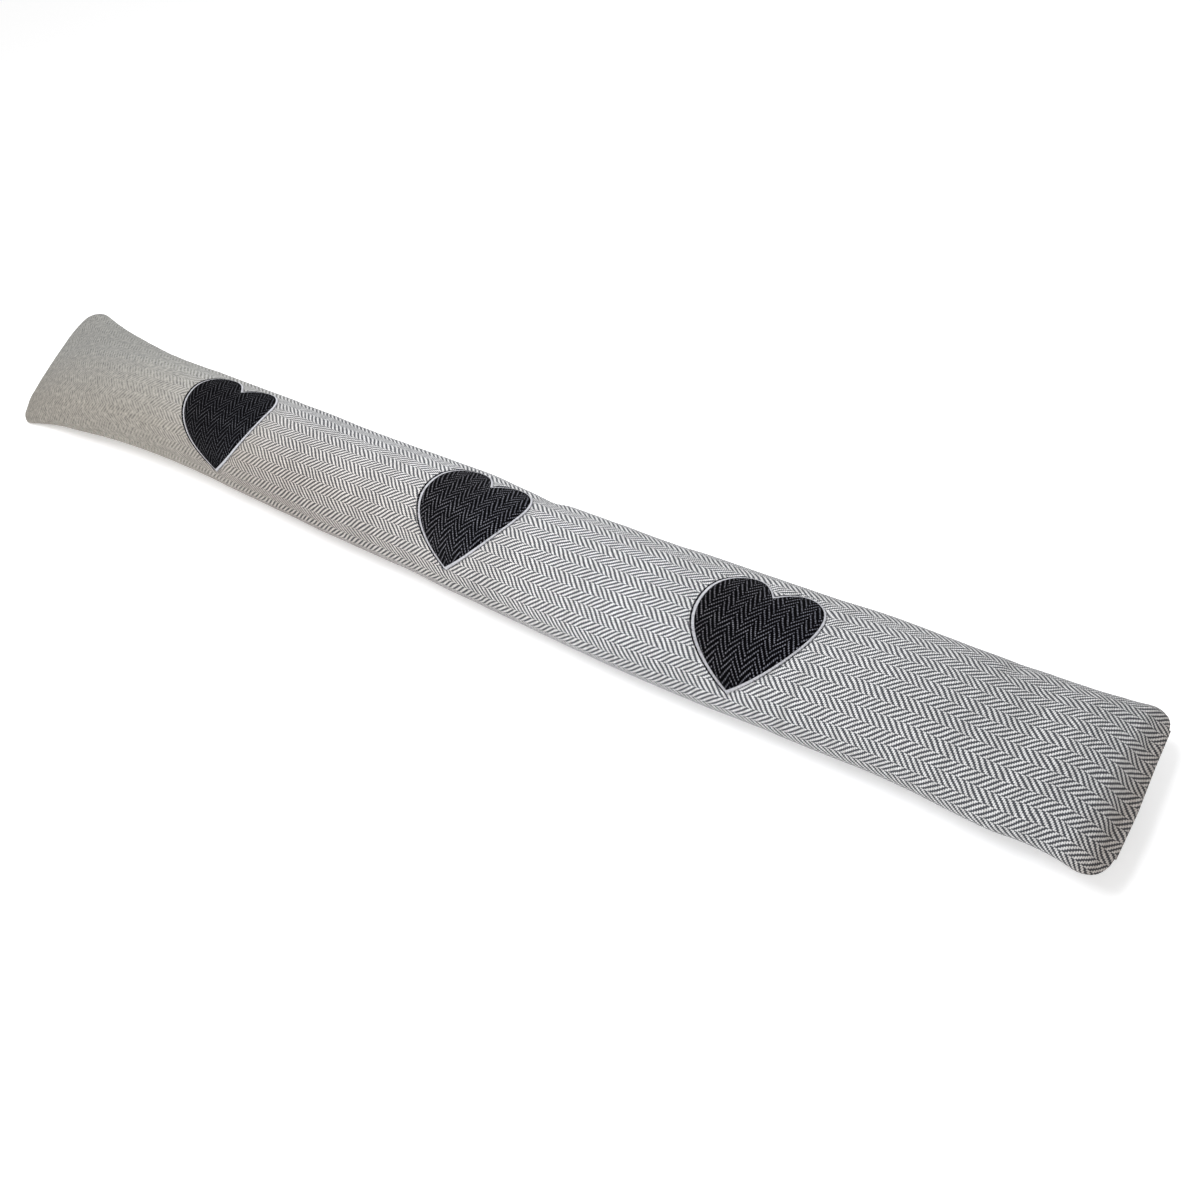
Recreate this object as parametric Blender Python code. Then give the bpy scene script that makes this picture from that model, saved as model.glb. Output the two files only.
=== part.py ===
# A stuffed draught excluder: a long herringbone cloth cover, sewn flat across both ends and
# filled, with three dark cloth hearts laid over its crown, each edged in satin stitch.
# It lies along X on the floor, Z is up, and lengths are in metres.

import math

import bmesh
import bpy
import numpy as np

# Cover
LENGTH = 0.860
FLAT_WIDTH = 0.114
SECTION_POWER = 2.0
END_THICK = 0.004
END_SLOPE = 2.2
SIT = 0.0025
TALLEST = 0.0692
LEFT_CORNER = 0.024
RIGHT_CORNER = 0.016
LEFT_RISE = 0.019
RIGHT_RISE = 0.023
LEFT_TURN = math.radians(21)
TURN_LENGTH = 0.26
TURN_POWER = 1.5

# Each row is one section across the tube, from the left end to the right end:
# its place as a share of the length, its height in mm, and its drift away from the axis in mm.
SECTION_COLUMNS = ("share", "height", "drift")
SECTION_ROWS = (
    (-0.500, 4.0, 6.9),
    (-0.475, 18.3, 5.3),
    (-0.440, 38.5, 3.4),
    (-0.390, 53.1, 0.9),
    (-0.330, 65.5, -1.8),
    (-0.260, 69.2, -2.4),
    (-0.180, 65.3, -2.2),
    (-0.100, 63.6, -3.0),
    (-0.020, 61.3, -2.6),
    (0.060, 58.8, -4.0),
    (0.140, 54.6, -3.7),
    (0.220, 47.3, -1.1),
    (0.300, 48.5, 0.7),
    (0.370, 51.2, 1.2),
    (0.430, 42.3, 2.6),
    (0.475, 31.5, 5.2),
    (0.500, 4.0, 6.8),
)

# Hearts
HEART_WIDTH = 0.0658
HEART_TALL = 0.0728
HEART_GAP = 0.0005
HEART_THICK = 0.0013
EDGE_GAP = 0.0004
EDGE_WIDTH = 0.0016
EDGE_THICK = 0.0012

# Where each heart's middle lies: along the tube, how far round from the ridge line
# towards the far side, and its turn. Lengths in mm, turn in degrees. Slant and bend are what
# the sewing did to it: how far its right side rides up, and how far its tip swings right.
HEART_COLUMNS = ("along", "round", "turn", "slant", "bend")
HEART_ROWS = (
    (-176.0, -15.3, 4.4, -0.036, 0.093),
    (34.4, -8.5, -6.6, 0.064, 0.263),
    (225.8, -8.2, -5.4, 0.050, 0.240),
)

# Half of a heart, from the notch over the lobe to the tip, as shares of its half width and
# its height. Each point has the direction in which the outline runs and how far it pulls.
HEART_KNOT_COLUMNS = ("across", "up", "heading", "pull")
HEART_KNOTS = (
    (0.00, 0.336, 54, 0.085),
    (0.48, 0.500, 0, 0.09),
    (1.00, 0.184, -90, 0.22),
    (0.00, -0.500, -147, 0.42),
)

# Fineness
MM = 0.001
AROUND = 44
ARC_STEPS = 360
MIDDLE_RINGS = 54
END_DISTANCES = (0.0, 0.0012, 0.003, 0.006, 0.010, 0.015, 0.021, 0.028)
HEART_AROUND = 68
HEART_RINGS = 14
EDGE_SIDES = 6
KNOT_STEPS = 120
KEEP_SHARE = 0.97
TORUS_TUBE = 0.25
NUDGE = 0.0008

# Colours, roughness
CLOTH = ("herringbone_cloth", (0.40, 0.40, 0.39), 0.9)
DARK_CLOTH = ("dark_herringbone_cloth", (0.025, 0.025, 0.029), 0.9)
THREAD = ("satin_stitch_thread", (0.52, 0.51, 0.55), 0.6)


def clear_scene():
    for old in list(bpy.data.objects):
        bpy.data.objects.remove(old, do_unlink=True)


def make_material(name, colour, roughness):
    material = bpy.data.materials.new(name)
    material.use_nodes = True
    shader = material.node_tree.nodes["Principled BSDF"]
    shader.inputs["Base Color"].default_value = (*colour, 1.0)
    shader.inputs["Roughness"].default_value = roughness
    shader.inputs["Metallic"].default_value = 0.0
    return material


def add_object(name, mesh_data, material, collection):
    mesh = bpy.data.meshes.new(name)
    mesh_data.to_mesh(mesh)
    mesh_data.free()
    mesh.materials.append(material)
    piece = bpy.data.objects.new(name, mesh)
    collection.objects.link(piece)
    return piece


def smooth_through(places, values, at):
    """A smooth curve through the values, read at one place."""
    slopes = np.gradient(values, places)
    i = int(np.clip(np.searchsorted(places, at) - 1, 0, len(places) - 2))
    span = places[i + 1] - places[i]
    t = min(max((at - places[i]) / span, 0.0), 1.0)
    start, end = values[i], values[i + 1]
    leave, arrive = slopes[i] * span, slopes[i + 1] * span
    return ((2 * t ** 3 - 3 * t ** 2 + 1) * start + (t ** 3 - 2 * t ** 2 + t) * leave
            + (3 * t ** 2 - 2 * t ** 3) * end + (t ** 3 - t ** 2) * arrive)


def corner_cut(from_end, radius):
    """How much narrower the flat cloth is near an end, where its corners are round."""
    if from_end >= radius:
        return 0.0
    return 2 * (radius - math.sqrt(radius ** 2 - (radius - from_end) ** 2))


def section_ring(half_width, height, steps):
    """Points of one section, from the far side over the ridge and back under."""
    angles = np.linspace(0, 2 * math.pi, steps + 1)
    c, s = np.cos(angles), np.sin(angles)
    power = 2 / SECTION_POWER
    across = half_width * np.sign(c) * np.abs(c) ** power
    up = height / 2 * (1 + np.sign(s) * np.abs(s) ** power)
    return across, up


def half_width_for(girth, height):
    """The half width at which a section of this height takes up the cloth's girth."""
    low, high = girth / 8, girth / 4
    for _ in range(24):
        middle = (low + high) / 2
        across, up = section_ring(middle, height, 72)
        if np.hypot(np.diff(across), np.diff(up)).sum() > girth:
            high = middle
        else:
            low = middle
    return low


def section_at(along, steps):
    """The placed section at one distance along the tube."""
    table = np.array(SECTION_ROWS)
    places = table[:, SECTION_COLUMNS.index("share")] * LENGTH
    from_left = max(along + LENGTH / 2, 0.0)
    from_right = max(LENGTH / 2 - along, 0.0)
    from_end = min(from_left, from_right)
    height = smooth_through(places, table[:, SECTION_COLUMNS.index("height")] * MM, along)
    height = min(max(height, END_THICK), END_THICK + END_SLOPE * from_end)
    drift = smooth_through(places, table[:, SECTION_COLUMNS.index("drift")] * MM, along)
    flat = FLAT_WIDTH - corner_cut(from_left, LEFT_CORNER) - corner_cut(from_right, RIGHT_CORNER)
    sit = SIT * height / TALLEST
    half_width = half_width_for(2 * flat, height + sit)
    across, up = section_ring(half_width, height + sit, steps)
    # the left end turns about the tube's axis, so its far corner is raised
    turn = LEFT_TURN * max(1 - from_left / TURN_LENGTH, 0.0) ** TURN_POWER
    middle = (height + sit) / 2
    turned_across = across * math.cos(turn) - (up - middle) * math.sin(turn)
    turned_up = middle + across * math.sin(turn) + (up - middle) * math.cos(turn)
    # a thin end lifts off the floor, and a full section sits on it with a flat underside
    rise = LEFT_RISE if along < 0 else RIGHT_RISE
    lift = rise * (1 - height / TALLEST) ** 2 - sit
    return turned_across + drift, np.maximum(turned_up + lift, 0.0)


def on_cloth(along, arc):
    """The point on the cover that lies this far round from the ridge, to the far side."""
    across, up = section_at(along, ARC_STEPS)
    lengths = np.concatenate(([0.0], np.cumsum(np.hypot(np.diff(across), np.diff(up)))))
    ridge = lengths[ARC_STEPS // 4]
    return np.array((along, np.interp(ridge - arc, lengths, across),
                     np.interp(ridge - arc, lengths, up)))


def above_cloth(along, arc, lift):
    """The same point, raised off the cloth at right angles to it."""
    middle = on_cloth(along, arc)
    down_tube = on_cloth(along + NUDGE, arc) - on_cloth(along - NUDGE, arc)
    round_tube = on_cloth(along, arc + NUDGE) - on_cloth(along, arc - NUDGE)
    normal = np.cross(down_tube, round_tube)
    return middle + normal / np.linalg.norm(normal) * lift


def ring_places():
    """Distances along the tube of the cover's rings, closer together at the ends."""
    inner = LENGTH / 2 - END_DISTANCES[-1]
    middle = np.linspace(-inner, inner, MIDDLE_RINGS)
    left = [-LENGTH / 2 + distance for distance in END_DISTANCES[:-1]]
    right = [LENGTH / 2 - distance for distance in reversed(END_DISTANCES[:-1])]
    return left + list(middle) + right


def make_cover(material, collection):
    """A flat grid of cloth is rolled up along its length, joined, and closed at both ends."""
    places = ring_places()
    cloth = bmesh.new()
    bmesh.ops.create_grid(cloth, x_segments=len(places) - 1, y_segments=AROUND, size=1.0)
    rings = [section_at(along, AROUND) for along in places]
    for corner in cloth.verts:
        ring = round((corner.co.x + 1) / 2 * (len(places) - 1))
        step = round((corner.co.y + 1) / 2 * AROUND) % AROUND
        across, up = rings[ring]
        corner.co = (places[ring], across[step], up[step])
    bmesh.ops.remove_doubles(cloth, verts=cloth.verts, dist=1e-6)
    open_edges = [edge for edge in cloth.edges if edge.is_boundary]
    bmesh.ops.holes_fill(cloth, edges=open_edges, sides=0)
    bmesh.ops.recalc_face_normals(cloth, faces=cloth.faces)
    return add_object("cover", cloth, material, collection)


def heart_half():
    """Points down one side of the heart, from its notch to its tip."""
    knots = [dict(zip(HEART_KNOT_COLUMNS, row)) for row in HEART_KNOTS]
    points = []
    for start, end in zip(knots, knots[1:]):
        corners = []
        for knot, way in ((start, 1), (end, -1)):
            x = knot["across"] * HEART_WIDTH / 2
            y = knot["up"] * HEART_TALL
            reach = way * knot["pull"] * HEART_TALL
            heading = math.radians(knot["heading"])
            corners += [(x, y), (x + reach * math.cos(heading), y + reach * math.sin(heading))]
        first, leave, last, arrive = (np.array(corner) for corner in corners)
        for step in range(KNOT_STEPS):
            t = step / KNOT_STEPS
            points.append((1 - t) ** 3 * first + 3 * (1 - t) ** 2 * t * leave
                          + 3 * (1 - t) * t ** 2 * arrive + t ** 3 * last)
    points.append(last)
    return np.array(points)


def heart_outline(outward=0.0):
    """Evenly spaced points round the heart from its notch, moved outward from its edge."""
    half = heart_half()
    edge = np.vstack((half * (-1, 1), half[-2:0:-1]))
    ahead = np.roll(edge, -1, axis=0) - edge
    ahead /= np.linalg.norm(ahead, axis=1)[:, None]
    run = ahead + np.roll(ahead, 1, axis=0)
    run /= np.linalg.norm(run, axis=1)[:, None]
    corner_reach = outward / np.maximum((run * ahead).sum(axis=1), 0.2)
    moved = edge + corner_reach[:, None] * np.stack((run[:, 1], -run[:, 0]), axis=1)
    # inside the notch the moved edges of the two lobes cross, and what lies too near goes
    nearest = np.linalg.norm(moved[:, None] - edge[None], axis=2).min(axis=1)
    kept = moved[nearest >= outward * KEEP_SHARE]
    closed = np.vstack((kept, kept[:1]))
    lengths = np.concatenate(([0.0], np.cumsum(np.hypot(*np.diff(closed, axis=0).T))))
    at = np.linspace(0, lengths[-1], HEART_AROUND, endpoint=False)
    return np.stack([np.interp(at, lengths, closed[:, k]) for k in (0, 1)], axis=1)


def place_on_cover(row, x, y, lift):
    """A point of a flat heart, laid on the cover where that heart belongs."""
    turn = math.radians(row["turn"])
    swing = row["bend"] * max(-y, 0.0) ** 2 / (HEART_TALL / 2)
    along = row["along"] * MM + x * math.cos(turn) - y * math.sin(turn) + swing
    arc = row["round"] * MM + x * (math.sin(turn) + row["slant"]) + y * math.cos(turn)
    return above_cloth(along, arc, lift)


def make_heart(name, row, material, collection):
    """A flattened ball whose equator is the outline of the heart, laid over the crown."""
    outline = heart_outline()
    patch = bmesh.new()
    bmesh.ops.create_uvsphere(patch, u_segments=HEART_AROUND, v_segments=HEART_RINGS, radius=1.0)
    for corner in patch.verts:
        turn = math.atan2(corner.co.y, corner.co.x) / (2 * math.pi)
        x, y = outline[round(turn * HEART_AROUND) % HEART_AROUND]
        latitude = math.asin(max(-1.0, min(1.0, corner.co.z))) / (math.pi / 2)
        side = round(latitude * HEART_RINGS / 2)
        share = min(1.0, (HEART_RINGS / 2 - abs(side)) / (HEART_RINGS / 2 - 1))
        lift = HEART_GAP + HEART_THICK * (0.5 if side == 0 else float(side > 0))
        corner.co = place_on_cover(row, x * share, y * share, lift)
    return add_object(name, patch, material, collection)


def make_edge(name, row, material, collection):
    """A ring of satin stitch round the heart, as a flattened torus."""
    bpy.ops.mesh.primitive_torus_add(major_segments=HEART_AROUND, minor_segments=EDGE_SIDES,
                                     major_radius=1.0, minor_radius=TORUS_TUBE)
    ring = bpy.context.object
    stitched = bmesh.new()
    stitched.from_mesh(ring.data)
    bpy.data.objects.remove(ring, do_unlink=True)
    inner = heart_outline(EDGE_GAP)
    outer = heart_outline(EDGE_GAP + EDGE_WIDTH)
    for corner in stitched.verts:
        turn = math.atan2(corner.co.y, corner.co.x) / (2 * math.pi)
        index = round(turn * HEART_AROUND) % HEART_AROUND
        outward = (math.hypot(corner.co.x, corner.co.y) - 1.0 + TORUS_TUBE) / (2 * TORUS_TUBE)
        x, y = inner[index] + outward * (outer[index] - inner[index])
        lift = EDGE_GAP + EDGE_THICK * (corner.co.z + TORUS_TUBE) / (2 * TORUS_TUBE)
        corner.co = place_on_cover(row, x, y, lift)
    return add_object(name, stitched, material, collection)


def centre_on_axis(pieces):
    """Moves the points so that the whole part's box is centred over the origin."""
    corners = [corner.co for piece in pieces for corner in piece.data.vertices]
    middle = [(min(c[k] for c in corners) + max(c[k] for c in corners)) / 2 for k in (0, 1)]
    for corner in corners:
        corner.x -= middle[0]
        corner.y -= middle[1]


def main():
    clear_scene()
    collection = bpy.data.collections.new("draught_excluder")
    bpy.context.scene.collection.children.link(collection)
    pieces = [make_cover(make_material(*CLOTH), collection)]
    dark_cloth = make_material(*DARK_CLOTH)
    thread = make_material(*THREAD)
    for number, values in enumerate(HEART_ROWS, start=1):
        row = dict(zip(HEART_COLUMNS, values))
        pieces.append(make_heart(f"heart_{number}", row, dark_cloth, collection))
        pieces.append(make_edge(f"heart_edge_{number}", row, thread, collection))
    centre_on_axis(pieces)


main()
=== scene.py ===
import math

import bpy
import numpy as np
from mathutils import Matrix, Vector, noise


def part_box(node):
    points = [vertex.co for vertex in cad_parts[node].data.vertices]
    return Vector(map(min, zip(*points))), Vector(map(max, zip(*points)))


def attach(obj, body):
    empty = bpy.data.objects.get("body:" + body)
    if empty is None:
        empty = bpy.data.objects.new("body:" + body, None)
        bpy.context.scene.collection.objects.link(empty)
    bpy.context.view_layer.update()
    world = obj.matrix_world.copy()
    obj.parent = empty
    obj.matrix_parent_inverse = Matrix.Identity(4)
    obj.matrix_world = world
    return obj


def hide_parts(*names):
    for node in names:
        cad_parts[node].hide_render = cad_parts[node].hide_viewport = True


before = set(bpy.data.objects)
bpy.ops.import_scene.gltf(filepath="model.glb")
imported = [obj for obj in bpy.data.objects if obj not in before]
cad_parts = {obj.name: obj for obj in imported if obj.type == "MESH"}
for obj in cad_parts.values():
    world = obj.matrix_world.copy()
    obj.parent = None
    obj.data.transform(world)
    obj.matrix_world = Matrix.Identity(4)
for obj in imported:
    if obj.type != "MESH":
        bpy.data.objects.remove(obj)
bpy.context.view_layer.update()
mm = 0.001


# Node and colour helpers

def hexToLinear(text):
    # #rrggbb in sRGB to a linear colour with alpha
    channels = [int(text[i:i + 2], 16) / 255 for i in (1, 3, 5)]
    return tuple(c / 12.92 if c <= 0.04045 else ((c + 0.055) / 1.055) ** 2.4 for c in channels) + (1.0,)


def addNode(tree, kind, settings=None, **links):
    # settings are the node's own properties; links are socket names or s0, s1 ... for sockets by number
    node = tree.nodes.new(kind)
    for name, value in (settings or {}).items():
        setattr(node, name, value)
    for name, value in links.items():
        socket = node.inputs[int(name[1:])] if name[1:].isdigit() else node.inputs[name.replace("_", " ")]
        if isinstance(value, bpy.types.NodeSocket):
            tree.links.new(value, socket)
        else:
            socket.default_value = value
    return node


# The cover's shape, repeated from the part's own sizes

coverShape = {
    "length": 0.860,
    "flatWidth": 0.114,  # of the empty tube, so its girth is twice this
    "endThick": 0.004,  # two layers of cloth and their seam
    "endSlope": 2.2,  # the most that the height grows by for each metre from an end
    "sit": 0.0025,  # how far the tallest section is flattened by the floor
    "tallest": 0.0692,
    "leftCorner": 0.024,  # radius of the round corners
    "rightCorner": 0.016,
    "leftRise": 0.019,  # height of the seam's underside over the floor
    "rightRise": 0.023,
    "leftTurn": math.radians(21),  # twist at the left end, which dies out over the turn's length
    "turnLength": 0.26,
    "turnPower": 1.5,
    # share of the length, height in mm, drift away from the axis in mm
    "sections": (
        (-0.500, 4.0, 6.9),
        (-0.475, 18.3, 5.3),
        (-0.440, 38.5, 3.4),
        (-0.390, 53.1, 0.9),
        (-0.330, 65.5, -1.8),
        (-0.260, 69.2, -2.4),
        (-0.180, 65.3, -2.2),
        (-0.100, 63.6, -3.0),
        (-0.020, 61.3, -2.6),
        (0.060, 58.8, -4.0),
        (0.140, 54.6, -3.7),
        (0.220, 47.3, -1.1),
        (0.300, 48.5, 0.7),
        (0.370, 51.2, 1.2),
        (0.430, 42.3, 2.6),
        (0.475, 31.5, 5.2),
        (0.500, 4.0, 6.8),
    ),
    # neither end is quite square: place across the tube in mm, and how far the edge is drawn in there
    "leftDrawn": ((-57, 3.2), (57, 0.0)),
    "rightDrawn": ((-57, 2.0), (-45, 1.8), (-12, 0.4), (16, 0.6), (38, 0.3), (50, 0.3), (57, 1.8)),
    "drawnReach": 0.06,
    # rings of the net: distances from each end in mm where it tapers, then an even pitch
    "endRings": (0.0, 0.5, 1.1, 1.8, 2.6, 3.5, 4.5, 5.7, 7.0, 8.5, 10.1, 11.9),
    "evenFrom": 13.8,
    "ringPitch": 0.0019,
    "around": 124,
    "arcSteps": 480,
    # each end is folded in: distance inwards in mm, and the share of its thickness that is left
    "endSeam": ((-0.5, 0.80), (-0.7, 0.45), (0.2, 0.16), (2.2, 0.03)),
}


def smoothThrough(places, values, at):
    # a smooth curve through a table's values, read at one place
    slopes = np.gradient(values, places)
    i = int(np.clip(np.searchsorted(places, at) - 1, 0, len(places) - 2))
    span = places[i + 1] - places[i]
    t = min(max((at - places[i]) / span, 0.0), 1.0)
    leave, arrive = slopes[i] * span, slopes[i + 1] * span
    return ((2 * t ** 3 - 3 * t ** 2 + 1) * values[i] + (t ** 3 - 2 * t ** 2 + t) * leave
            + (3 * t ** 2 - 2 * t ** 3) * values[i + 1] + (t ** 3 - t ** 2) * arrive)


def cornerCut(fromEnd, radius):
    # what the two round corners of an end take off its width
    if fromEnd >= radius:
        return 0.0
    return 2 * (radius - math.sqrt(radius ** 2 - (radius - fromEnd) ** 2))


def ovalGirth(halfWidth, height, steps=96):
    turn = np.linspace(0, 2 * math.pi, steps + 1)
    return np.hypot(np.diff(halfWidth * np.cos(turn)), np.diff(height / 2 * np.sin(turn))).sum()


def halfWidthFor(girth, height, halvings=22):
    # the cloth's girth is fixed, so a flatter section is a wider one: found by halving
    low, high = girth / 8, girth / 4
    for _ in range(halvings):
        middle = (low + high) / 2
        low, high = (low, middle) if ovalGirth(middle, height) > girth else (middle, high)
    return low


def sectionAt(along):
    # one section from the middle of the underside, by the far side, ridge and near side, back under
    s = coverShape
    table = np.array(s["sections"])
    places = table[:, 0] * s["length"]
    fromLeft = max(along + s["length"] / 2, 0.0)
    fromRight = max(s["length"] / 2 - along, 0.0)
    height = smoothThrough(places, table[:, 1] * mm, along)
    height = min(max(height, s["endThick"]), s["endThick"] + s["endSlope"] * min(fromLeft, fromRight))
    drift = smoothThrough(places, table[:, 2] * mm, along)
    flat = s["flatWidth"] - cornerCut(fromLeft, s["leftCorner"]) - cornerCut(fromRight, s["rightCorner"])
    sit = s["sit"] * height / s["tallest"]
    halfWidth = halfWidthFor(2 * flat, height + sit)
    turn = np.linspace(-math.pi / 2, 1.5 * math.pi, s["arcSteps"] + 1)
    across = halfWidth * np.cos(turn)
    up = (height + sit) / 2 * (1 + np.sin(turn))
    lean = s["leftTurn"] * max(1 - fromLeft / s["turnLength"], 0.0) ** s["turnPower"]
    middle = (height + sit) / 2
    leanAcross = across * math.cos(lean) - (up - middle) * math.sin(lean)
    leanUp = middle + across * math.sin(lean) + (up - middle) * math.cos(lean)
    rise = s["leftRise"] if along < 0 else s["rightRise"]
    lift = rise * (1 - height / s["tallest"]) ** 2 - sit
    return leanAcross + drift, np.maximum(leanUp + lift, 0.0)


def ringPlaces():
    # distances along the tube of the rings, closer where the ends taper
    half = coverShape["length"] / 2
    ends = [distance * mm for distance in coverShape["endRings"]]
    inner = half - coverShape["evenFrom"] * mm
    middle = np.linspace(-inner, inner, int(2 * inner / coverShape["ringPitch"]) + 1)
    return np.array([-half + e for e in ends] + list(middle) + [half - e for e in reversed(ends)])


def buildNet():
    # rows of points along the tube, columns evenly round its girth from the middle of the underside
    places = ringPlaces()
    around, steps = coverShape["around"], coverShape["arcSteps"]
    net = np.zeros((len(places), around + 1, 3))
    arcs = np.zeros((len(places), around + 1))
    for i, along in enumerate(places):
        across, up = sectionAt(along)
        lengths = np.concatenate(([0.0], np.cumsum(np.hypot(np.diff(across), np.diff(up)))))
        ridge = lengths[steps // 2]
        at = np.linspace(0, lengths[-1], around + 1)
        net[i, :, 0] = along
        net[i, :, 1] = np.interp(at, lengths, across)
        net[i, :, 2] = np.interp(at, lengths, up)
        arcs[i] = ridge - at
    # an arc is a distance round from the ridge, plus on the far side, which comes first in a section
    return places, net, arcs


def netNormals(net):
    down = np.gradient(net, axis=0)
    left = np.gradient(net, axis=1)
    left[:, 0] = left[:, -1] = net[:, 1] - net[:, -2]
    normal = np.cross(left, down)
    return normal / np.maximum(np.linalg.norm(normal, axis=2), 1e-12)[:, :, None]


# Hearts: their outline and where they lie

heartShape = {
    "width": 0.0658,
    "tall": 0.0728,
    "edgeGap": 0.0004,
    "edgeWidth": 0.0016,
    # half outline: share of half width, share of height, heading in degrees, pull
    "knots": (
        (0.00, 0.336, 54, 0.085),
        (0.48, 0.500, 0, 0.09),
        (1.00, 0.184, -90, 0.22),
        (0.00, -0.500, -147, 0.42),
    ),
    "knotSteps": 120,
    "sharpest": 0.2,  # limit for the corners when the outline is moved
    "keptShare": 0.97,  # a moved point nearer than this to the outline has crossed it and is dropped
    # along in mm, round from the ridge in mm, turn in degrees, slant and bend by the sewing
    "places": (
        (-176.0, -15.3, 4.4, -0.036, 0.093),
        (34.4, -8.5, -6.6, 0.064, 0.263),
        (225.8, -8.2, -5.4, 0.050, 0.240),
    ),
}


def heartEdge(outward, count):
    # evenly spaced points round a heart from its notch, moved outward from its edge
    points = []
    knots = heartShape["knots"]
    for start, end in zip(knots, knots[1:]):
        bezier = []
        for (x, y, heading, pull), way in ((start, 1), (end, -1)):
            corner = np.array((x * heartShape["width"] / 2, y * heartShape["tall"]))
            reach = way * pull * heartShape["tall"]
            bezier += [corner, corner + reach * np.array((math.cos(math.radians(heading)),
                                                          math.sin(math.radians(heading))))]
        first, leave, last, arrive = bezier
        for step in range(heartShape["knotSteps"]):
            t = step / heartShape["knotSteps"]
            points.append((1 - t) ** 3 * first + 3 * (1 - t) ** 2 * t * leave
                          + 3 * (1 - t) * t ** 2 * arrive + t ** 3 * last)
    half = np.array(points + [last])
    edge = np.vstack((half * (-1, 1), half[-2:0:-1]))
    ahead = np.roll(edge, -1, axis=0) - edge
    ahead /= np.linalg.norm(ahead, axis=1)[:, None]
    run = ahead + np.roll(ahead, 1, axis=0)
    run /= np.linalg.norm(run, axis=1)[:, None]
    reach = outward / np.maximum((run * ahead).sum(axis=1), heartShape["sharpest"])
    moved = edge + reach[:, None] * np.stack((run[:, 1], -run[:, 0]), axis=1)
    nearest = np.linalg.norm(moved[:, None] - edge[None], axis=2).min(axis=1)
    kept = moved[nearest >= abs(outward) * heartShape["keptShare"]]
    closed = np.vstack((kept, kept[:1]))
    lengths = np.concatenate(([0.0], np.cumsum(np.hypot(*np.diff(closed, axis=0).T))))
    at = np.linspace(0, lengths[-1], count, endpoint=False)
    return np.stack([np.interp(at, lengths, closed[:, k]) for k in (0, 1)], axis=1)


def outwardFrom(edge, spread):
    # directions away from the heart at the points of its edge, eased round the corners
    run = np.roll(edge, -1, axis=0) - np.roll(edge, 1, axis=0)
    run /= np.linalg.norm(run, axis=1)[:, None]
    eased = sum(np.roll(run, step, axis=0) for step in range(-spread, spread + 1))
    eased /= np.linalg.norm(eased, axis=1)[:, None]
    return np.stack((eased[:, 1], -eased[:, 0]), axis=1)


def heartToCloth(number, x, y):
    # a flat heart's point as a place on the cloth: along the tube, and round from the ridge
    along, roundTube, turn, slant, bend = heartShape["places"][number]
    turn = math.radians(turn)
    swing = bend * np.maximum(-y, 0.0) ** 2 / (heartShape["tall"] / 2)
    return (along * mm + x * math.cos(turn) - y * math.sin(turn) + swing,
            roundTube * mm + x * (math.sin(turn) + slant) + y * math.cos(turn))


# Relief of the cover: soft lumps, puckers at the ends, and what the stitching does to it

relief = {
    "lumpHeight": 0.0005,
    "lumpSize": 0.055,
    "lumpDetail": (0.7, 2.1, 3),  # roughness, spacing and number of its layers
    "lumpFade": 0.02,  # they rise over this distance from an end
    "stitchDip": 0.0009,
    "stitchReach": 0.0026,
    "stitchPoints": 320,
    "nearHeart": 0.06,  # no stitch reaches further than this from the middle of its heart
    "seamDip": 0.0016,
    "seamReach": 0.0022,
    "seamFade": 0.01,
    "puckerStart": 0.006,
    # each pucker: end (-1 left, 1 right), arc in mm, half width in mm, length in mm, height in mm, slant
    "puckers": (
        (-1, -44, 4.0, 34, -0.9, 0.10),
        (-1, -27, 5.0, 46, -0.7, 0.16),
        (-1, -6, 4.5, 38, -0.6, 0.05),
        (-1, 14, 5.5, 52, -0.8, -0.08),
        (-1, 36, 4.5, 40, -0.9, -0.16),
        (1, -43, 3.6, 26, -0.9, 0.12),
        (1, -30, 4.2, 34, -0.6, 0.08),
        (1, -12, 4.5, 30, -0.5, 0.04),
        (1, 9, 5.0, 38, -0.6, -0.06),
        (1, 29, 4.5, 32, -0.7, -0.10),
        (1, 43, 3.8, 28, -0.9, -0.14),
    ),
    # hollows and swells along the far shoulder: along, arc, reach along, reach round and height, in mm
    "hollows": (
        (18, 42, 20, 13, 1.2),
        (68, 38, 9, 11, -1.8),
        (290, 42, 26, 13, 1.2),
        (356, 37, 7, 9, -1.8),
    ),
}


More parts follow.
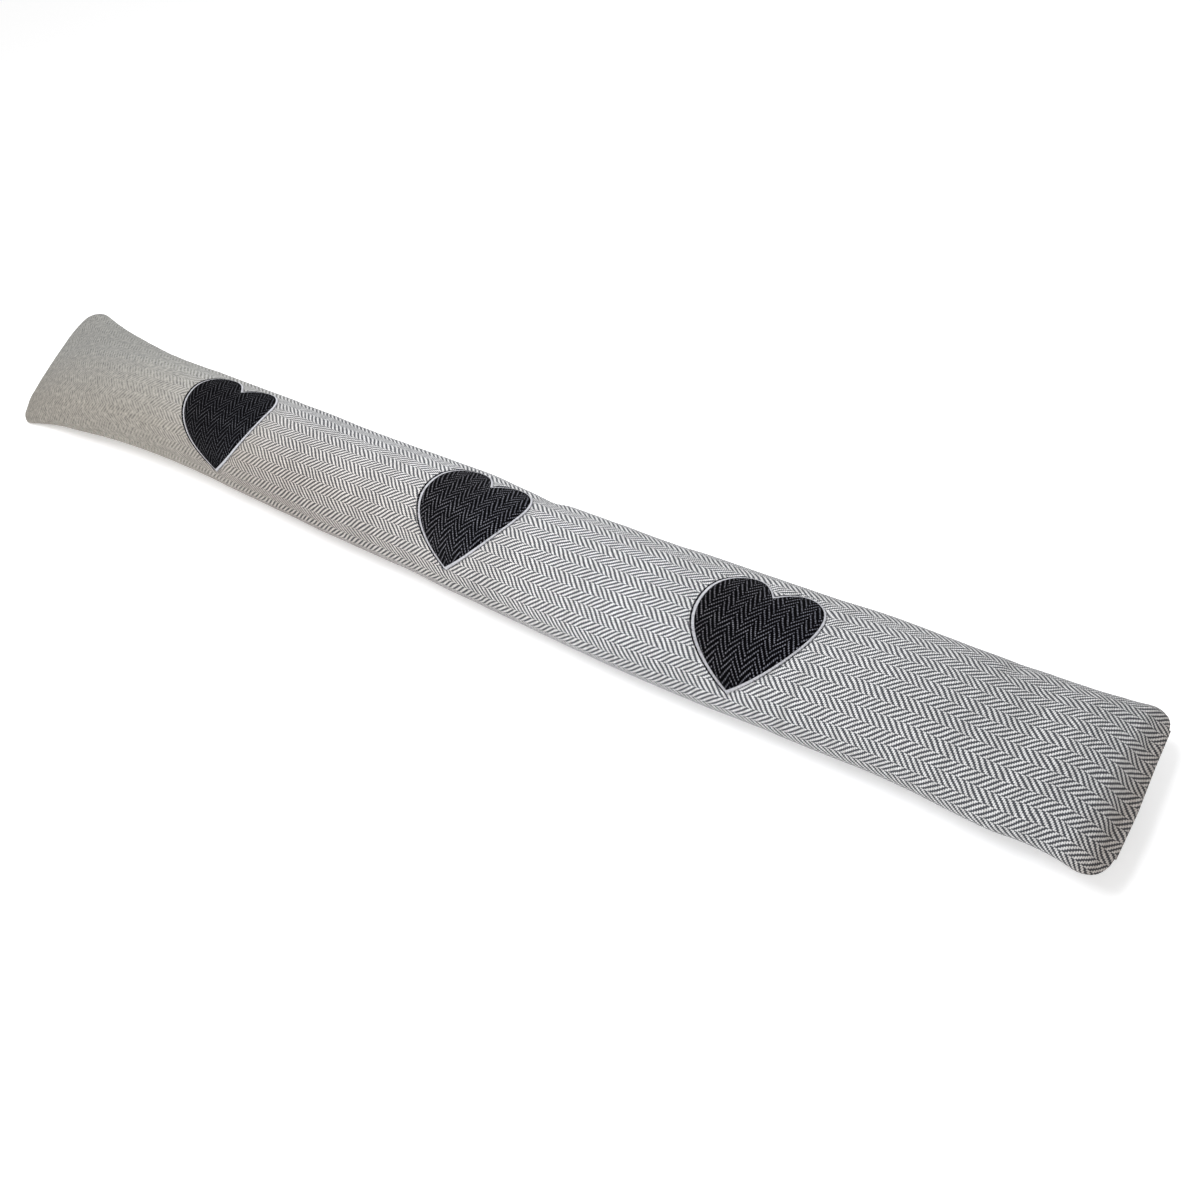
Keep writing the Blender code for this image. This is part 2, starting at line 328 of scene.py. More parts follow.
def reliefAt(places, net, arcs):
    # how far to raise each point of the net
    half = coverShape["length"] / 2
    raised = np.zeros(arcs.shape)
    for i in range(arcs.shape[0]):
        for j in range(arcs.shape[1] - 1):
            spot = Vector(net[i, j]) / relief["lumpSize"]
            lump = noise.fractal(spot, *relief["lumpDetail"], noise_basis="PERLIN_ORIGINAL")
            raised[i, j] = relief["lumpHeight"] * lump
    raised[:, -1] = raised[:, 0]
    fromEnd = np.minimum(places + half, half - places)
    raised *= np.clip(fromEnd / relief["lumpFade"], 0, 1)[:, None]
    for end, arc, wide, long, high, slant in relief["puckers"]:
        away = (places + half if end < 0 else half - places)[:, None]
        offAxis = (arcs - arc * mm - slant * away) / (wide * mm)
        start = np.clip(away / relief["puckerStart"], 0, 1)
        raised += high * mm * np.exp(-offAxis ** 2) * np.exp(-away / (long * mm)) * start
    for along, arc, reachAlong, reachRound, high in relief["hollows"]:
        offAlong = (places[:, None] / mm - along) / reachAlong
        offRound = (arcs / mm - arc) / reachRound
        raised += high * mm * np.exp(-(offAlong ** 2 + offRound ** 2))
    # the tube's own seam runs along the middle of the underside
    fromSeam = np.minimum(arcs[:, :1] - arcs, arcs - arcs[:, -1:])
    seam = np.exp(-(fromSeam / relief["seamReach"]) ** 2)
    raised -= relief["seamDip"] * seam * np.clip(fromEnd / relief["seamFade"], 0, 1)[:, None]
    # the satin stitch pulls the cloth in along the outer edge of each heart
    outerEdge = heartEdge(heartShape["edgeGap"] + heartShape["edgeWidth"], relief["stitchPoints"])
    for number in range(len(heartShape["places"])):
        outline = np.stack(heartToCloth(number, *outerEdge.T), axis=1)
        near = np.nonzero(np.abs(places - outline[:, 0].mean()) < relief["nearHeart"])[0]
        spots = np.stack((np.repeat(places[near, None], arcs.shape[1], 1), arcs[near]), axis=2)
        away = np.linalg.norm(spots[:, :, None] - outline[None, None], axis=3).min(axis=2)
        raised[near] -= relief["stitchDip"] * np.exp(-(away / relief["stitchReach"]) ** 2)
    return raised


filling = {
    "pressure": 4.0,
    "frames": 20,
    "quality": 6,
    "spareCloth": 0.015,  # share by which the cloth is cut larger than its place
    "mostMove": 0.0020,
    "rowGap": 0.0036,  # of the coarser net
    "columnStep": 2,
    "wrinkleRows": 12,  # rows over which the movement is levelled, so that only wrinkles stay
    "smoothings": 2,
}


def fillCover(places, net):
    # cloth simulation on a coarser copy of the net: the filling presses out and the spare cloth wrinkles
    rows = [0]
    for i in range(1, len(places)):
        if places[i] - places[rows[-1]] >= filling["rowGap"]:
            rows.append(i)
    rows[-1] = len(places) - 1
    coarse = net[rows][:, :-1:filling["columnStep"]]
    count, columns = coarse.shape[:2]
    corners = [[i * columns + j, i * columns + (j + 1) % columns, (i + 1) * columns + (j + 1) % columns,
                (i + 1) * columns + j] for i in range(count - 1) for j in range(columns)]
    corners += [list(range(columns))[::-1], [(count - 1) * columns + j for j in range(columns)]]
    mesh = bpy.data.meshes.new("fillingTrial")
    mesh.from_pydata([tuple(point) for point in coarse.reshape(-1, 3)], [], corners)
    trial = bpy.data.objects.new("fillingTrial", mesh)
    bpy.context.scene.collection.objects.link(trial)
    sewn = trial.vertex_groups.new(name="sewn")
    sewn.add(corners[-2] + corners[-1], 1.0, "REPLACE")
    cloth = trial.modifiers.new("filling", "CLOTH")
    cloth.settings.quality = filling["quality"]
    cloth.settings.use_pressure = True
    cloth.settings.uniform_pressure_force = filling["pressure"]
    cloth.settings.shrink_min = -filling["spareCloth"]
    cloth.settings.vertex_group_mass = "sewn"
    cloth.settings.effector_weights.gravity = 0.0
    for step in range(1, filling["frames"] + 1):
        bpy.context.scene.frame_set(step)
    settled = trial.evaluated_get(bpy.context.evaluated_depsgraph_get()).to_mesh()
    after = np.zeros(count * columns * 3)
    settled.vertices.foreach_get("co", after)
    bpy.data.objects.remove(trial, do_unlink=True)
    bpy.context.scene.frame_set(1)
    moved = after.reshape(count, columns, 3) - coarse
    moved = np.concatenate((moved, moved[:, :1]), axis=1)
    reach = np.linalg.norm(moved, axis=2, keepdims=True)
    moved *= np.tanh(reach / filling["mostMove"]) * filling["mostMove"] / np.maximum(reach, 1e-9)
    # the tube keeps its measured sections: the broad part of the movement is taken off again
    broad = moved.copy()
    for _ in range(filling["wrinkleRows"] ** 2 // 2):
        broad[1:-1] = (broad[:-2] + 2 * broad[1:-1] + broad[2:]) / 4
    moved -= broad
    # back on to the fine net, row by row and column by column
    fineColumns = np.arange(net.shape[1])
    held = np.arange(0, net.shape[1], filling["columnStep"])
    wide = np.array([[np.interp(fineColumns, held, moved[i, :, k]) for k in range(3)]
                     for i in range(count)])
    fine = np.array([[np.interp(places, places[rows], wide[:, k, j]) for k in range(3)]
                     for j in fineColumns])
    fine = fine.transpose(2, 0, 1)
    for _ in range(filling["smoothings"]):
        ring = np.concatenate((fine[:, -2:-1], fine, fine[:, 1:2]), axis=1)
        fine = (ring[:, :-2] + 2 * ring[:, 1:-1] + ring[:, 2:]) / 4
        fine[1:-1] = (fine[:-2] + 2 * fine[1:-1] + fine[2:]) / 4
    print("filling settled", count * columns, "points, moved", round(float(reach.max()) / mm, 2), "mm")
    return net + fine


def shapeCover():
    places, net, arcs = buildNet()
    # the part's box is centred on the axis, and so is this
    low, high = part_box("cover")
    shift = (low[1] + high[1]) / 2 - (net[:, :, 1].min() + net[:, :, 1].max()) / 2
    net[:, :, 1] += shift
    for end, way in (("leftDrawn", 1), ("rightDrawn", -1)):
        spots, drawn = np.array(coverShape[end]).T * mm
        away = places[:, None] * way + coverShape["length"] / 2
        fade = np.clip(1 - away / coverShape["drawnReach"], 0, 1) ** 2
        net[:, :, 0] += way * np.interp(net[:, :, 1], spots, drawn) * fade
    net = fillCover(places, net)
    net = net + netNormals(net) * reliefAt(places, net, arcs)[:, :, None]
    net[:, -1] = net[:, 0]
    net[:, :, 2] = np.maximum(net[:, :, 2], 0.0)
    return places, net, arcs, shift


places, net, arcs, shift = shapeCover()
normals = netNormals(net)
print("cover shaped", net.shape)


def onCover(along, arc, lift):
    # points on the cover at these places, raised off it
    along, arc = np.asarray(along, float), np.asarray(arc, float)
    row = np.clip(np.searchsorted(places, along) - 1, 0, len(places) - 2)
    t = np.clip((along - places[row]) / (places[row + 1] - places[row]), 0, 1)
    out = []
    for data in (net, normals):
        ends = []
        for r in (row, row + 1):
            span = (arcs[r, -1] - arcs[r, 0]) / (arcs.shape[1] - 1)
            column = (arc - arcs[r, 0]) / span
            k = np.clip(np.floor(column).astype(int), 0, arcs.shape[1] - 2)
            f = (column - k)[..., None]
            ends.append(data[r, k] * (1 - f) + data[r, k + 1] * f)
        out.append(ends[0] * (1 - t[..., None]) + ends[1] * t[..., None])
    normal = out[1] / np.linalg.norm(out[1], axis=-1)[..., None]
    return out[0] + normal * np.asarray(lift, float)[..., None], normal


# Materials

# each cloth: spacing of its threads along and across a band, how many threads in four show light,
# the two shades of its light yarn, its dark yarn, and its gloss
cloths = {
    "woven wool-mix herringbone":
        (0.000857, 0.000840, 2.0, "#dfdfdf", "#cac9c8", "#505256", 0.06),
    "woven wool-mix herringbone black":
        (0.00109, 0.00070, 1.0, "#6a6b72", "#45464c", "#020204", 0.01),
    # the first heart is brushed, like the end that it lies near, and its light yarn is darker, as painted
    # shade for the dimmer light there
    "woven wool-mix herringbone black, brushed and shaded":
        (0.00109, 0.00070, 1.0, "#4b4c51", "#303136", "#020204", 0.01),
}

weave = {
    "bandEnds": 8,
    "grainLean": (0.013, 0.186),  # lean of the threads round the tube, and its growth per metre
    "bandLean": 0.0195,  # lean of the bands along it
    "crownHeight": 0.00022,
    "fibreHeight": 0.5,  # the fibres' share of it
    "roughness": 0.92,  # wool has no shine, only a faint sheen of loose fibres
    "sheenRoughness": 0.6,
    # the sizes of the uneven things, each with how many finer layers it has
    "wander": (0.0143, 2.0),  # threads stray from side to side over this distance
    "fibre": (0.00077, 3.0),  # a wool hair is 0.03 mm thick, and is drawn this coarse so that it shows
    "tuft": (0.0033, 4.0),  # of the raised nap
    "cloud": (0.042, 3.0),  # slow changes of shade
    "stray": 0.0016,  # threads stray by half of this at most
    # what the height of the crown, the fibres and the clouds do to the shade: gain and start
    "crownShade": (0.46, 0.62),
    "fibreShade": (0.60, 0.70),
    "cloudShade": (0.16, 0.92),
    "warm": "#937a60",  # painted shade, warm in hue, where the cloth turns down at the right end
    "endShadeShare": 0.5,
    "endShadeFrom": 0.020,  # it starts this far from the end, and is full after the reach
    "endShadeReach": 0.018,
    "lowShadeShare": 0.28,  # a little painted shade on the near side of the left half too, which is tinted besides
    "lowShadeTint": "#fffaf4",
    "lowRamp": (-20.0, 0.40),  # slope per metre and start
    "leftRamp": (-4.0, 0.6),
    "nap": "#91908a",  # towards the left end the nap of the wool is up, and hides the twill; its grey is darker than the yarn's, painted shade for the dimmer light there
    "napShare": 0.82,
    "napTuft": (0.6, -0.3),  # what a tuft does to the share and to the shade: gain and start
    "napShade": (1.50, 0.24),
    "napLevels": 0.8,  # share of the threads' height that it hides
    "napReach": (-0.105, -0.245),  # places along the tube where it starts and where it is full
}


def threadMaterial(name):
    # woven wool mix in a 2/2 herringbone twill: dull, slightly hairy threads that each catch the light
    # on their crown
    pick, end, lightCount, lightHex, oldHex, darkHex, gloss = cloths[name]
    material = bpy.data.materials.new(name)
    material.use_nodes = True
    tree = material.node_tree
    tree.nodes.clear()
    cloth = addNode(tree, "ShaderNodeUVMap", {"uv_map": "cloth"}).outputs[0]
    spotted = {}
    for what in ("wander", "fibre", "tuft", "cloud"):
        size, layers = weave[what]
        spotted[what] = addNode(tree, "ShaderNodeTexNoise", {"noise_dimensions": "2D"}, Vector=cloth,
                                Scale=1 / size, Detail=layers).outputs
    centred = addNode(tree, "ShaderNodeVectorMath", {"operation": "SUBTRACT"},
                      s0=spotted["wander"]["Color"], s1=(0.5, 0.5, 0.5))
    small = addNode(tree, "ShaderNodeVectorMath", {"operation": "SCALE"}, s0=centred.outputs[0],
                    Scale=weave["stray"])
    bent = addNode(tree, "ShaderNodeVectorMath", {"operation": "ADD"}, s0=cloth, s1=small.outputs[0])
    flat = addNode(tree, "ShaderNodeSeparateXYZ", None, Vector=bent.outputs[0]).outputs
    straight = addNode(tree, "ShaderNodeSeparateXYZ", None, Vector=cloth).outputs
    repeat = 2 * weave["bandEnds"]
    endShadeStart = coverShape["length"] / 2 - weave["endShadeFrom"]
    napStart, napFull = weave["napReach"]
    value = {"along": flat[0], "round": flat[1], "place": straight[0], "side": straight[1]}
    value.update((what, spotted[what]["Fac"]) for what in ("fibre", "tuft", "cloud"))
    # each row: what it works out, how, and from which values
    for what, how, *terms in (
            ("pick", "DIVIDE", "along", pick),
            ("end", "DIVIDE", "round", end),
            ("pickNumber", "FLOOR", "pick"),
            ("endNumber", "FLOOR", "end"),
            ("acrossPick", "FRACT", "pick"),
            ("acrossEnd", "FRACT", "end"),
            # within a repeat of two bands the twill climbs, breaks, falls back and breaks again
            ("repeats", "DIVIDE", "endNumber", repeat),
            ("repeatNumber", "FLOOR", "repeats"),
            ("wholeRepeats", "MULTIPLY", "repeatNumber", repeat),
            ("step", "SUBTRACT", "endNumber", "wholeRepeats"),
            ("falling", "GREATER_THAN", "step", weave["bandEnds"] - 0.5),
            ("climb", "SUBTRACT", repeat + 1, "step"),
            ("turned", "SUBTRACT", "climb", "step"),
            ("zigzag", "MULTIPLY_ADD", "turned", "falling", "step"),
            ("shifted", "ADD", "pickNumber", "zigzag"),
            ("phase", "FLOORED_MODULO", "shifted", 4.0),
            ("lightUp", "LESS_THAN", "phase", lightCount),
            # crown of the thread that is on top
            ("other", "SUBTRACT", "acrossPick", "acrossEnd"),
            ("across", "MULTIPLY_ADD", "other", "lightUp", "acrossEnd"),
            ("offCrown", "MULTIPLY_ADD", "across", 2.0, -1.0),
            ("drop", "MULTIPLY", "offCrown", "offCrown"),
            ("crown", "SUBTRACT", 1.0, "drop"),
            ("height", "MULTIPLY_ADD", "fibre", weave["fibreHeight"], "crown"),
            # shade of the crown, the fibres, and slow clouds over the cloth
            ("crownShade", "MULTIPLY_ADD", "crown", *weave["crownShade"]),
            ("fibreShade", "MULTIPLY_ADD", "fibre", *weave["fibreShade"]),
            ("cloudShade", "MULTIPLY_ADD", "cloud", *weave["cloudShade"]),
            ("threadShade", "MULTIPLY", "crownShade", "fibreShade"),
            ("shade", "MULTIPLY", "threadShade", "cloudShade"),
            # painted shade, warm in hue, towards the right end, where the cloth turns down
            ("pastStart", "SUBTRACT", "place", endShadeStart),
            ("endShare", "DIVIDE", "pastStart", weave["endShadeReach"]),
            ("endWarm", "MULTIPLY", "endShare", weave["endShadeShare"]),
            # and painted shade, warm in hue, on the near side of the left half
            ("lowSide", "MULTIPLY_ADD", "side", *weave["lowRamp"]),
            ("leftHalf", "MULTIPLY_ADD", "place", *weave["leftRamp"]),
            ("lowLeft", "MULTIPLY", "lowSide", "leftHalf"),
            ("lowWarm", "MULTIPLY", "lowLeft", weave["lowShadeShare"]),
            ("warm", "MAXIMUM", "endWarm", "lowWarm"),
            # raised nap towards the left end, its colour partly painted shade
            ("leftward", "SUBTRACT", napStart, "place"),
            ("napOn", "DIVIDE", "leftward", napStart - napFull),
            ("napTuft", "MULTIPLY_ADD", "tuft", *weave["napTuft"]),
            ("napShare", "ADD", "napTuft", weave["napShare"]),
            ("nap", "MULTIPLY", "napOn", "napShare"),
            ("napShade", "MULTIPLY_ADD", "tuft", *weave["napShade"]),
            ("threadsShow", "MULTIPLY_ADD", "nap", -weave["napLevels"], 1.0)):
        links = {f"s{n}": value.get(term, term) for n, term in enumerate(terms)}
        settings = {"operation": how, "use_clamp": what in ("endShare", "lowSide", "leftHalf", "napOn")}
        value[what] = addNode(tree, "ShaderNodeMath", settings, **links).outputs[0]
    # no two threads are dyed or spun quite alike
    pickTone = addNode(tree, "ShaderNodeTexWhiteNoise", {"noise_dimensions": "1D"}, W=value["pickNumber"])
    # the nap's colour, darker than the yarn's as painted shade for the dimmer light at the left end
    fleeceAndShade = addNode(tree, "ShaderNodeVectorMath", {"operation": "SCALE"},
                     s0=hexToLinear(weave["nap"])[:3], Scale=value["napShade"])
    # each row: what is mixed, how, by which share, and from what to what
    shades = {"pickTone": pickTone.outputs["Value"], "fleeceAndShade": fleeceAndShade.outputs[0], **value}
    for what, how, share, *pair in (
            ("lightYarn", "MIX", "pickTone", lightHex, oldHex),
            ("yarn", "MIX", "lightUp", darkHex, "lightYarn"),
            # the yarn darkened and warmed by the painted shade
            ("shadedYarn", "MULTIPLY", "warm", "yarn", weave["warm"]),
            ("brushedAndShaded", "MIX", "nap", "shadedYarn", "fleeceAndShade"),
            # a warm tint that goes with the painted shade on the near side of the left half
            ("shadeTinted", "MULTIPLY", "lowLeft", "brushedAndShaded", weave["lowShadeTint"])):
        settings = {"data_type": "RGBA", "blend_type": how}
        first, second = (hexToLinear(term) if term.startswith("#") else shades[term] for term in pair)
        mixed = addNode(tree, "ShaderNodeMix", settings, s0=shades[share], s6=first, s7=second)
        shades[what] = mixed.outputs[2]
    colour = addNode(tree, "ShaderNodeVectorMath", {"operation": "SCALE"}, s0=shades["shadeTinted"],
                     Scale=value["shade"])
    bump = addNode(tree, "ShaderNodeBump", None, Strength=value["threadsShow"],
                   Distance=weave["crownHeight"], Height=value["height"])
    shader = addNode(tree, "ShaderNodeBsdfPrincipled", None, Base_Color=colour.outputs[0],
                     Roughness=weave["roughness"], Specular_IOR_Level=gloss, Sheen_Weight=gloss,
                     Sheen_Roughness=weave["sheenRoughness"], Normal=bump.outputs[0])
    addNode(tree, "ShaderNodeOutputMaterial", None, Surface=shader.outputs[0])
    return material


stitch = {
    "thread": 0.00038,
    "pitch": 0.00033,
    "countedAt": (0.0012, 600),  # distance outside the heart at which they are counted, and its points
    "base": 0.00025,  # height of a stitch's ends over the cloth, and how far its middle rises above them
    "rise": 0.0006,
    "arch": (0.06, 0.88, 0.6),  # start and span of the half wave, and how full it is
    "overHeart": 0.0002,
    "rightShorter": 0.35,  # share by which the stitches are shorter on the side of the right end
    "shorterTurn": 1.5,  # how soon they are, as the edge turns to the right
    "cornerSpread": 7,  # stitches over which a change of direction is eased
    # how uneven they are: at the inner end, the outer end, sideways and in height
    "innerUneven": (-0.00015, 0.00015),
    "outerUneven": (-0.0002, 0.00025),
    "sideUneven": (-0.00012, 0.00012),
    "riseUneven": (-0.00005, 0.00005),
    "points": 7,
    "sides": 5,
    "endTaper": 0.55,
    "shadow": "#98989d",
    "sheen": "#d0d0d4",
    "tintSize": 0.0011,
    "roughness": 0.5,
    "fuzz": 0.2,
    "gloss": 0.4,
}


def satinThreadMaterial():
    # twisted polyester embroidery thread: pale lilac grey, with a soft sheen along each stitch
    material = bpy.data.materials.new("satin stitch embroidery thread")
    material.use_nodes = True
    tree = material.node_tree
    tree.nodes.clear()
    cloth = addNode(tree, "ShaderNodeUVMap", {"uv_map": "cloth"}).outputs[0]
    tint = addNode(tree, "ShaderNodeTexNoise", {"noise_dimensions": "2D"}, Vector=cloth,
                   Scale=1 / stitch["tintSize"], Detail=2.0)
    colour = addNode(tree, "ShaderNodeMix", {"data_type": "RGBA"}, s0=tint.outputs["Fac"],
                     s6=hexToLinear(stitch["shadow"]), s7=hexToLinear(stitch["sheen"])).outputs[2]
    shader = addNode(tree, "ShaderNodeBsdfPrincipled", None, Base_Color=colour,
                     Roughness=stitch["roughness"], Sheen_Weight=stitch["fuzz"],
                     Specular_IOR_Level=stitch["gloss"])
    addNode(tree, "ShaderNodeOutputMaterial", None, Surface=shader.outputs[0])
    return material


coverCloth, heartCloth, heartClothBrushedAndShaded = (threadMaterial(name) for name in cloths)
satinThread = satinThreadMaterial()
print("materials ready")


# Meshes

def makeMesh(name, points, faces, uvs, material):
    # its one UV map is called cloth and is in metres of flat cloth; uvs holds a pair for each face corner
    mesh = bpy.data.meshes.new(name)
    mesh.from_pydata([tuple(p) for p in points], [], faces)
    layer = mesh.uv_layers.new(name="cloth")
    layer.data.foreach_set("uv", np.asarray(uvs, np.float32).ravel())
    mesh.materials.append(material)
    mesh.polygons.foreach_set("use_smooth", [True] * len(mesh.polygons))
    mesh.update()
    piece = bpy.data.objects.new(name, mesh)
    bpy.context.scene.collection.objects.link(piece)
    return piece


def grainUv(along, arc):
    # where the weave lies on the cloth: its grain leans a little, more towards the right end
    lean, growth = weave["grainLean"]
    return along - (lean + growth * along) * arc, arc - weave["bandLean"] * along


def makeCover():
    # the net rolled up, and each end closed by a sewn edge between its two layers
    rows, columns = arcs.shape[0], arcs.shape[1] - 1
    points = net[:, :columns].reshape(-1, 3)
    faces, uvs = [], []
    for i in range(rows - 1):
        for j in range(columns):
            k = (j + 1) % columns
            faces.append((i * columns + j, i * columns + k, (i + 1) * columns + k, (i + 1) * columns + j))
            for r, c in ((i, j), (i, j + 1), (i + 1, j + 1), (i + 1, j)):
                uvs.append(grainUv(places[r], arcs[r, c]))
    # each end is folded in to a seam line: top and underside meet along it
    extra = []
    total = len(points)
    for row, way in ((0, -1), (rows - 1, 1)):
        rim = [row * columns + j for j in range(columns)]
        ringPoints = net[row, :columns]
        middle = (ringPoints + ringPoints[(columns // 2 - np.arange(columns)) % columns]) / 2
        previous = rim
        for inward, squeeze in coverShape["endSeam"]:
            ring = middle + (ringPoints - middle) * squeeze
            ring[:, 0] -= way * inward * mm
            along = places[row] - way * inward * mm
            current = [total + j for j in range(columns)]
            extra.append(ring)
            total += columns
            for j in range(columns):
                k = (j + 1) % columns
                quad = (previous[j], current[j], current[k], previous[k])
                faces.append(quad if way < 0 else quad[::-1])
                spots = [grainUv(along, arcs[row, n]) for n in (j, j, j + 1, j + 1)]
                uvs += spots if way < 0 else spots[::-1]
            previous = current
        cap = previous if way < 0 else previous[::-1]
        faces.append(tuple(cap[::-1]))
        uvs += [grainUv(places[row], 0.0)] * columns
    piece = makeMesh("coverCloth", np.vstack([points] + extra), faces, uvs, coverCloth)
    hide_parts("cover")
    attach(piece, "root")
    return piece


patch = {
    "around": 176,
    "rings": 22,
    # heights over the cover: underside, cut edge, cloth at the stitches and cloth within them
    "under": 0.00015,
    "rawEdge": 0.00060,
    "stitched": 0.0005,
    "top": 0.0010,
    # how far each heart's cut edge shows beyond the stitches, on the side of the left end: a dark strip
    # that is painted shadow of the raised stitches
    "shadowStripWidth": (0.0014, 0.0013, 0.0010),
    "edgeTurn": 1.6,  # how soon it shows in full, as the edge turns to the left
    "edgeHidden": -0.6,  # on the other side it is drawn in instead, by this share
    "bandShift": 0.0019,  # from the heart's middle to the start of a band
}


def makeHeart(number):
    # a heart of dark cloth that follows the crown; its cut edge lies under the stitches, and shows
    # beyond them on the left as a strip of painted shadow of the raised stitches
    edge = heartEdge(0.0, patch["around"])
    under = heartEdge(heartShape["edgeGap"] + heartShape["edgeWidth"], patch["around"])
    outward = outwardFrom(under, 1)
    leftFacing = np.clip(-patch["edgeTurn"] * outward[:, :1], patch["edgeHidden"], 1)
    # beyond the stitches on the left, the dark cut edge is a strip of painted shadow of the raised
    # stitches
    cut = under + outward * patch["shadowStripWidth"][number] * leftFacing
    shares = np.sin(np.linspace(0, math.pi / 2, patch["rings"] + 1))[1:]
    layers = [(cut * share, patch["under"]) for share in shares]
    layers += [(cut, patch["rawEdge"]), (edge, patch["stitched"])]
    layers += [(edge * share, patch["top"]) for share in shares[-2::-1]]
    points, flats = [], []
    for ring, lift in layers:
        points.append(onCover(*heartToCloth(number, ring[:, 0], ring[:, 1]), np.full(len(edge), lift))[0])
        flats += list(zip(ring[:, 1], ring[:, 0] - patch["bandShift"]))
    around, count = patch["around"], len(layers)
    faces = []
    for i in range(count - 1):
        for j in range(around):
            k = (j + 1) % around
            faces.append((i * around + j, i * around + k, (i + 1) * around + k, (i + 1) * around + j))
    faces.append(tuple(range(around))[::-1])
    faces.append(tuple((count - 1) * around + j for j in range(around)))
    uvs = [flats[v] for face in faces for v in face]
    piece = makeMesh(f"heartPatch{number + 1}", np.vstack(points), faces, uvs,
                     heartCloth if number else heartClothBrushedAndShaded)
    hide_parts(f"heart_{number + 1}")
    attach(piece, "root")


def makeSatinStitch(number, draw):
    # close stitches side by side over the heart's edge, each one arched thread
    counted = heartEdge(*stitch["countedAt"])
    length = np.linalg.norm(np.diff(counted, axis=0, append=counted[:1]), axis=1).sum()
    count = int(length / stitch["pitch"])
    reach = (heartShape["edgeGap"] + heartShape["edgeWidth"]) / 2
    middle = heartEdge(reach, count)
    outward = outwardFrom(middle, stitch["cornerSpread"])
    shorter = stitch["rightShorter"] * np.clip(stitch["shorterTurn"] * outward[:, 0], 0, 1)
    inReach = reach + stitch["overHeart"] + draw.uniform(*stitch["innerUneven"], count)
    outReach = reach * (1 - 2 * shorter) + draw.uniform(*stitch["outerUneven"], count)
    inner = middle - outward * inReach[:, None]
    outer = middle + outward * outReach[:, None]
    slide = draw.uniform(*stitch["sideUneven"], count)
    points, faces = [], []
    arch = np.linspace(0, 1, stitch["points"])
    steps, sides = stitch["points"], stitch["sides"]
    radius = stitch["thread"] / 2
    start, span, fullness = stitch["arch"]
    for share in arch:
        spot = inner + (outer - inner) * share
        wave = math.sin(math.pi * (start + span * share)) ** fullness
        lift = stitch["base"] + stitch["rise"] * wave + draw.uniform(*stitch["riseUneven"], count)
        points.append(onCover(*heartToCloth(number, spot[:, 0], spot[:, 1]), lift)[0])
    lines = np.stack(points, axis=1)
    run = np.gradient(lines, axis=1)
    run /= np.linalg.norm(run, axis=2)[:, :, None]
    up = onCover(*heartToCloth(number, *((inner + outer) / 2).T), np.zeros(count))[1][:, None]
    side = np.cross(run, up)
    side /= np.linalg.norm(side, axis=2)[:, :, None]
    over = np.cross(side, run)
    ring = []
    taper = np.where((arch == 0) | (arch == 1), stitch["endTaper"], 1.0)[None, :, None]
    for k in range(sides):
        turn = 2 * math.pi * k / sides
        wall = math.cos(turn) * side + math.sin(turn) * over
        ring.append(lines + slide[:, None, None] * side + radius * taper * wall)
    body = np.stack(ring, axis=2).reshape(-1, 3)
    for n in range(count):
        base = n * steps * sides
        for i in range(steps - 1):
            low, high = base + i * sides, base + (i + 1) * sides
            for k in range(sides):
                m = (k + 1) % sides
                faces.append((low + k, low + m, high + m, high + k))
        faces.append(tuple(base + k for k in range(sides))[::-1])
        faces.append(tuple(base + (steps - 1) * sides + k for k in range(sides)))
    flat = np.stack((np.repeat(np.arange(count) * stitch["pitch"], steps * sides),
                     np.tile(np.repeat(arch * heartShape["edgeWidth"], sides), count)), axis=1)
    uvs = [flat[v] for face in faces for v in face]
    piece = makeMesh(f"satinStitch{number + 1}", body, faces, uvs, satinThread)
    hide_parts(f"heart_edge_{number + 1}")
    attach(piece, "root")
    return piece


cover = makeCover()
print("cover made", len(cover.data.polygons))
draw = np.random.default_rng(7)
for number in range(len(heartShape["places"])):
    makeHeart(number)
    rope = makeSatinStitch(number, draw)
    print("heart", number + 1, len(rope.data.polygons))


# Floor, light and camera

studio = {
    "floor": "#fafafa",
    "floorSize": 14.0,
    "floorDrop": 0.0004,
    "floorRoughness": 0.9,
    "floorGloss": 0.1,
    "floorGlow": 0.36,  # the backdrop is lit from below, as on a light table
    "worldStrength": 0.62,
    # each lamp: name, place, width, power in watts, colour
    "lamps": (
        ("overheadSoftbox", (0.0, -0.13, 0.66), 0.45, 5.1, "#fbfcff"),
        ("nearSoftbox", (0.9, -1.1, 1.1), 1.0, 0.9, "#f6f9ff"),
        ("leftReflector", (-0.95, -0.75, 0.35), 0.8, 0.3, "#ffa050"),
    ),
    "lampsAimAt": (0, 0, 0.03),
    # the camera as fitted to the photo: its place, before the part is centred, its angles in radians, and
    # its focal length in pixels of the frame
    "cameraSpot": (0.4218, -0.3365, 0.5054),
    "yaw": 0.7326,
    "pitch": 0.832,
    "roll": 0.1974,
    "focal": 1107.0,
    "sensor": 36.0,
    "frameWidth": 1200.0,
    "nearest": 0.01,
}


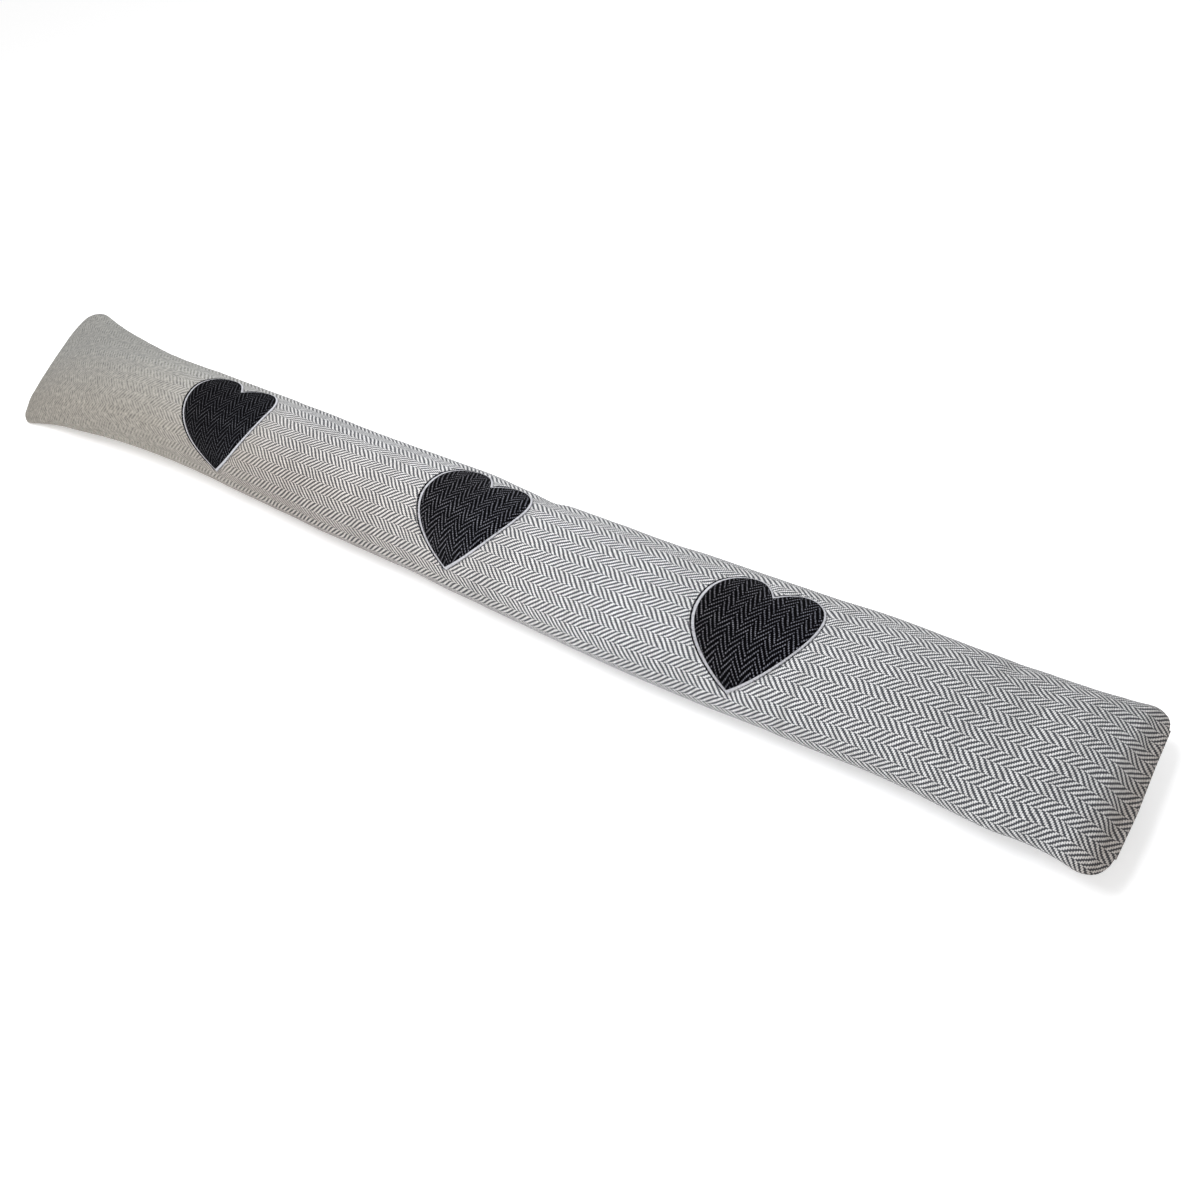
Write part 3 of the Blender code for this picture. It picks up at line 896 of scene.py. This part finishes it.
def makeFloor():
    bpy.ops.mesh.primitive_plane_add(size=studio["floorSize"], location=(0, 0, -studio["floorDrop"]))
    floor = bpy.context.object
    floor.name = "floorBoard"
    # coated paper, rolled smooth: matt, and so bright that it has no texture
    material = bpy.data.materials.new("matt white backdrop paper")
    material.use_nodes = True
    shader = material.node_tree.nodes["Principled BSDF"]
    shader.inputs["Base Color"].default_value = hexToLinear(studio["floor"])
    shader.inputs["Roughness"].default_value = studio["floorRoughness"]
    shader.inputs["Specular IOR Level"].default_value = studio["floorGloss"]
    shader.inputs["Emission Color"].default_value = hexToLinear(studio["floor"])
    shader.inputs["Emission Strength"].default_value = studio["floorGlow"]
    floor.data.materials.append(material)


def makeLight():
    world = bpy.data.worlds.new("soft studio")
    bpy.context.scene.world = world
    world.use_nodes = True
    sky = world.node_tree.nodes["Background"]
    sky.inputs["Color"].default_value = hexToLinear("#ffffff")
    sky.inputs["Strength"].default_value = studio["worldStrength"]
    for name, spot, size, power, tint in studio["lamps"]:
        lamp = bpy.data.lights.new(name, "AREA")
        lamp.size = size
        lamp.energy = power
        lamp.color = hexToLinear(tint)[:3]
        holder = bpy.data.objects.new(name, lamp)
        holder.location = spot
        aim = Vector(studio["lampsAimAt"]) - Vector(spot)
        holder.rotation_euler = aim.to_track_quat("-Z", "Y").to_euler()
        bpy.context.scene.collection.objects.link(holder)


def makeCamera():
    yaw, pitch, roll = studio["yaw"], studio["pitch"], studio["roll"]
    ahead = Vector((-math.sin(yaw) * math.cos(pitch), math.cos(yaw) * math.cos(pitch), -math.sin(pitch)))
    right = Vector((math.cos(yaw), math.sin(yaw), 0.0))
    down = ahead.cross(right)
    rolledRight = right * math.cos(roll) + down * math.sin(roll)
    rolledDown = down * math.cos(roll) - right * math.sin(roll)
    lens = bpy.data.cameras.new("photoCamera")
    lens.sensor_width = studio["sensor"]
    lens.lens = studio["sensor"] * studio["focal"] / studio["frameWidth"]
    lens.clip_start = studio["nearest"]
    camera = bpy.data.objects.new("photoCamera", lens)
    turn = Matrix((rolledRight, -rolledDown, -ahead)).transposed().to_4x4()
    camera.matrix_world = Matrix.Translation(Vector(studio["cameraSpot"]) + Vector((0, shift, 0))) @ turn
    bpy.context.scene.collection.objects.link(camera)
    bpy.context.scene.camera = camera


makeFloor()
makeLight()
makeCamera()
bpy.context.scene.view_settings.view_transform = "Standard"
print("studio ready")
